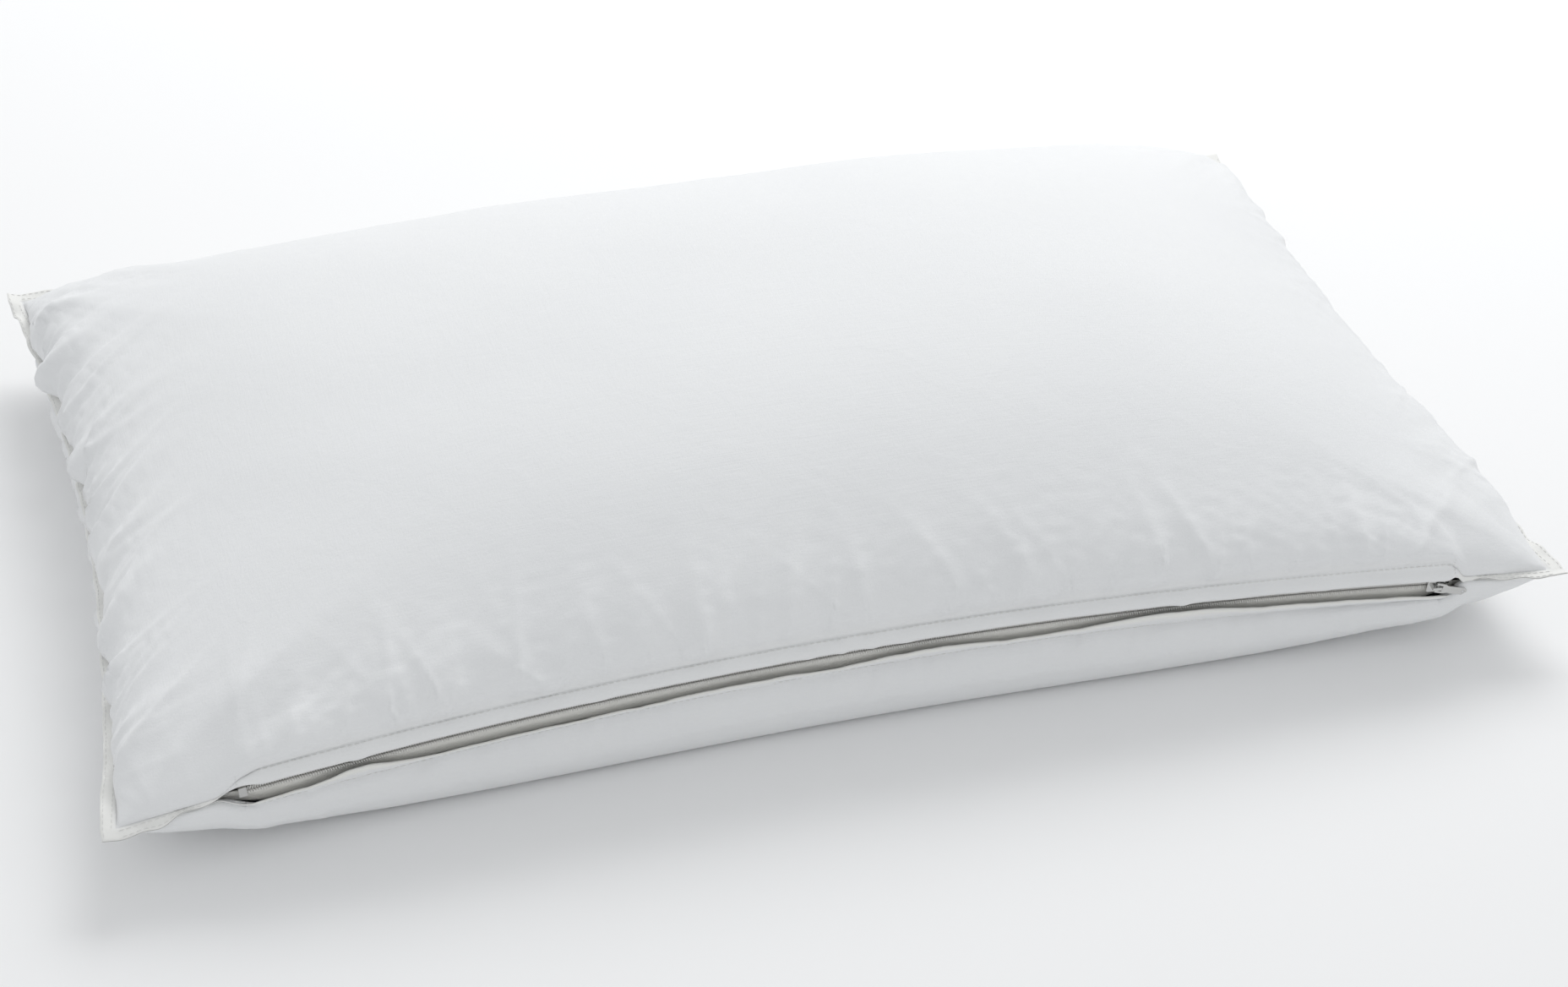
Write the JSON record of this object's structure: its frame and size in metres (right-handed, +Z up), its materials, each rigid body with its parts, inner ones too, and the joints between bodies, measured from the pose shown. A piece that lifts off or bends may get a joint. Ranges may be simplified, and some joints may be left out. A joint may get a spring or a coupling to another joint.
{
  "type": "bed pillow",
  "caption": "Rectangular bed pillow: a crowned cotton cover with flat stitched flanges and a long zip on one side, over an inner casing and soft fill.",
  "frame": {"origin": "middle of the base, on the surface the pillow lies on", "axes": "+X along the long side, +Y away from the zipped side, +Z up"},
  "size_m": [0.776, 0.48, 0.15],
  "materials": {
    "cotton_cover": "white cotton percale, fine matt weave with a faint sheen",
    "casing_ticking": "unbleached close cotton ticking",
    "fibre_fill": "loose white fibre wadding",
    "zip_tape": "woven polyester tape, herringbone",
    "zip_coil": "moulded coil, slightly glossy",
    "zip_metal": "nickel plated, satin",
    "sewing_thread": "twisted cotton thread"
  },
  "bodies": {
    "pillow": {"top_panel": "cotton_cover", "bottom_panel": "cotton_cover", "inner_casing_top": "casing_ticking", "inner_casing_bottom": "casing_ticking", "fill": "fibre_fill", "zip_tape_upper": "zip_tape", "zip_tape_lower": "zip_tape", "zip_coil_upper": "zip_coil", "zip_coil_lower": "zip_coil", "top_stop_upper": "zip_metal", "top_stop_lower": "zip_metal", "bottom_stop": "zip_metal", "bar_tack_left": "sewing_thread", "bar_tack_right": "sewing_thread", "flap_topstitch": "sewing_thread", "hem_topstitch": "sewing_thread", "edge_stitch_outer": "sewing_thread", "edge_stitch_inner": "sewing_thread"},
    "slider": {"slider_body": "zip_metal"},
    "pull": {"pull_tab": "zip_metal"}
  },
  "joints": [
    {"name": "slider_travel", "type": "hinge", "parent": "pillow", "child": "slider", "pos_m": [0, -2.66763, -1.66776], "axis": [0, -0.5736, 0.8192], "range_deg": [0, 12]},
    {"name": "pull_flip", "type": "hinge", "parent": "slider", "child": "pull", "pos_m": [0.31578, -0.22854, 0.04193], "axis": [-0.2659, 0.0205, -0.9638], "range_deg": [0, 170]}
  ]
}
